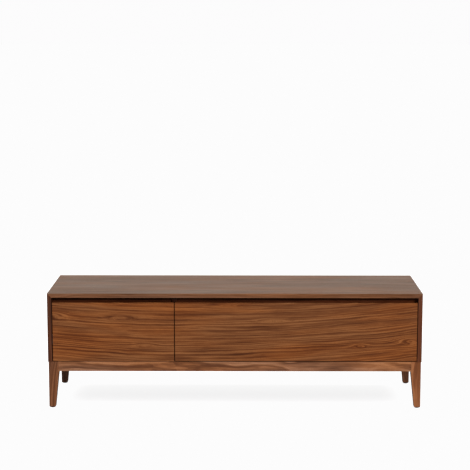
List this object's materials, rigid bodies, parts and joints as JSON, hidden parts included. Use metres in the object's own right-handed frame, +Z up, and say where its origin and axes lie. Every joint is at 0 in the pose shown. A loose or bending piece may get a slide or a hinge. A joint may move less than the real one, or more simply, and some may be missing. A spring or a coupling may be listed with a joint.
{
  "type": "console television cabinet",
  "caption": "Low walnut console television cabinet on a tapered-leg base, with a drawer on telescopic runners, a drop-down flap on slotted stays, a shelf and rear cable outlets.",
  "frame": {"origin": "middle of the footprint, on the floor", "axes": "+X to the right seen from the front, -Y out of the front, +Z up"},
  "size_m": [1.6, 0.45, 0.5],
  "materials": {
    "walnut_case": "satin lacquered walnut veneer, grain along the width on the top and up the sides",
    "walnut_front": "satin lacquered walnut veneer, horizontal grain running across both fronts",
    "walnut_base": "satin lacquered solid walnut, grain along each piece",
    "walnut_inside": "matt dark walnut veneer",
    "birch": "pale birch plywood, clear lacquer",
    "steel": "zinc-plated steel",
    "black_plastic": "fine-textured black plastic",
    "rubber_pad": "soft translucent grey pads"
  },
  "bodies": {
    "cabinet": {"top_panel": "walnut_case", "left_side_panel": "walnut_case", "right_side_panel": "walnut_case", "bottom_panel": "walnut_inside", "centre_partition": "walnut_inside", "back_panel_left": "walnut_inside", "back_panel_right": "walnut_inside", "front_rail_left": "walnut_inside", "front_rail_right": "walnut_inside", "rear_rail_left": "walnut_inside", "rear_rail_right": "walnut_inside", "shelf": "walnut_inside", "shelf_pins": "steel", "cable_grommets": "black_plastic", "mitre_splines": "birch", "case_dowels": "birch", "back_panel_screws": "steel", "front_apron": "walnut_base", "rear_apron": "walnut_base", "left_apron": "walnut_base", "right_apron": "walnut_base", "leg_front_left": "walnut_base", "leg_front_right": "walnut_base", "leg_rear_left": "walnut_base", "leg_rear_right": "walnut_base", "corner_blocks": "birch", "cross_rail_left": "walnut_base", "cross_rail_right": "walnut_base", "base_screws": "steel", "leg_glides": "black_plastic", "runner_case_member_left": "steel", "runner_case_member_right": "steel", "hinge_case_leaves": "steel", "hinge_pins": "steel", "hinge_case_screws": "steel", "stay_pins": "steel", "catch_housing": "black_plastic", "catch_magnet": "steel", "bumper_pads": "rubber_pad"},
    "drawer": {"drawer_front": "walnut_front", "drawer_sub_front": "birch", "drawer_side_left": "birch", "drawer_side_right": "birch", "drawer_back": "birch", "drawer_bottom": "birch", "drawer_front_screws": "steel", "runner_drawer_member_left": "steel", "runner_drawer_member_right": "steel"},
    "runner_middle_left": {"runner_middle_member_left": "steel", "runner_ball_cages_left": "steel"},
    "runner_middle_right": {"runner_middle_member_right": "steel", "runner_ball_cages_right": "steel"},
    "flap": {"flap_door": "walnut_front", "hinge_flap_leaves": "steel", "hinge_flap_screws": "steel", "stay_brackets": "steel", "stay_rivets": "steel", "strike_plate": "steel"},
    "left_stay": {"stay_arm_left": "steel"},
    "right_stay": {"stay_arm_right": "steel"}
  },
  "joints": [
    {"name": "drawer_slide", "type": "slide", "parent": "cabinet", "child": "drawer", "axis": [0, -1, 0], "range_m": [0, 0.38]},
    {"name": "runner_slide_left", "type": "slide", "parent": "cabinet", "child": "runner_middle_left", "axis": [0, -1, 0], "range_m": [0, 0.19]},
    {"name": "runner_slide_right", "type": "slide", "parent": "cabinet", "child": "runner_middle_right", "axis": [0, -1, 0], "range_m": [0, 0.19]},
    {"name": "flap_hinge", "type": "hinge", "parent": "cabinet", "child": "flap", "pos_m": [0.26667, -0.219, 0.21], "axis": [1, 0, 0], "range_deg": [0, 90]},
    {"name": "stay_pivot_left", "type": "hinge", "parent": "flap", "child": "left_stay", "pos_m": [-0.23732, -0.199, 0.31817], "axis": [1, 0, 0], "range_deg": [-45, 0]},
    {"name": "stay_pivot_right", "type": "hinge", "parent": "flap", "child": "right_stay", "pos_m": [0.77065, -0.199, 0.31817], "axis": [1, 0, 0], "range_deg": [-45, 0]}
  ],
  "couplings": [
    {"joint": "runner_slide_left", "follows": "drawer_slide", "ratio": 0.5},
    {"joint": "runner_slide_right", "follows": "drawer_slide", "ratio": 0.5},
    {"joint": "stay_pivot_left", "follows": "flap_hinge", "ratio": -0.5},
    {"joint": "stay_pivot_right", "follows": "flap_hinge", "ratio": -0.5}
  ]
}
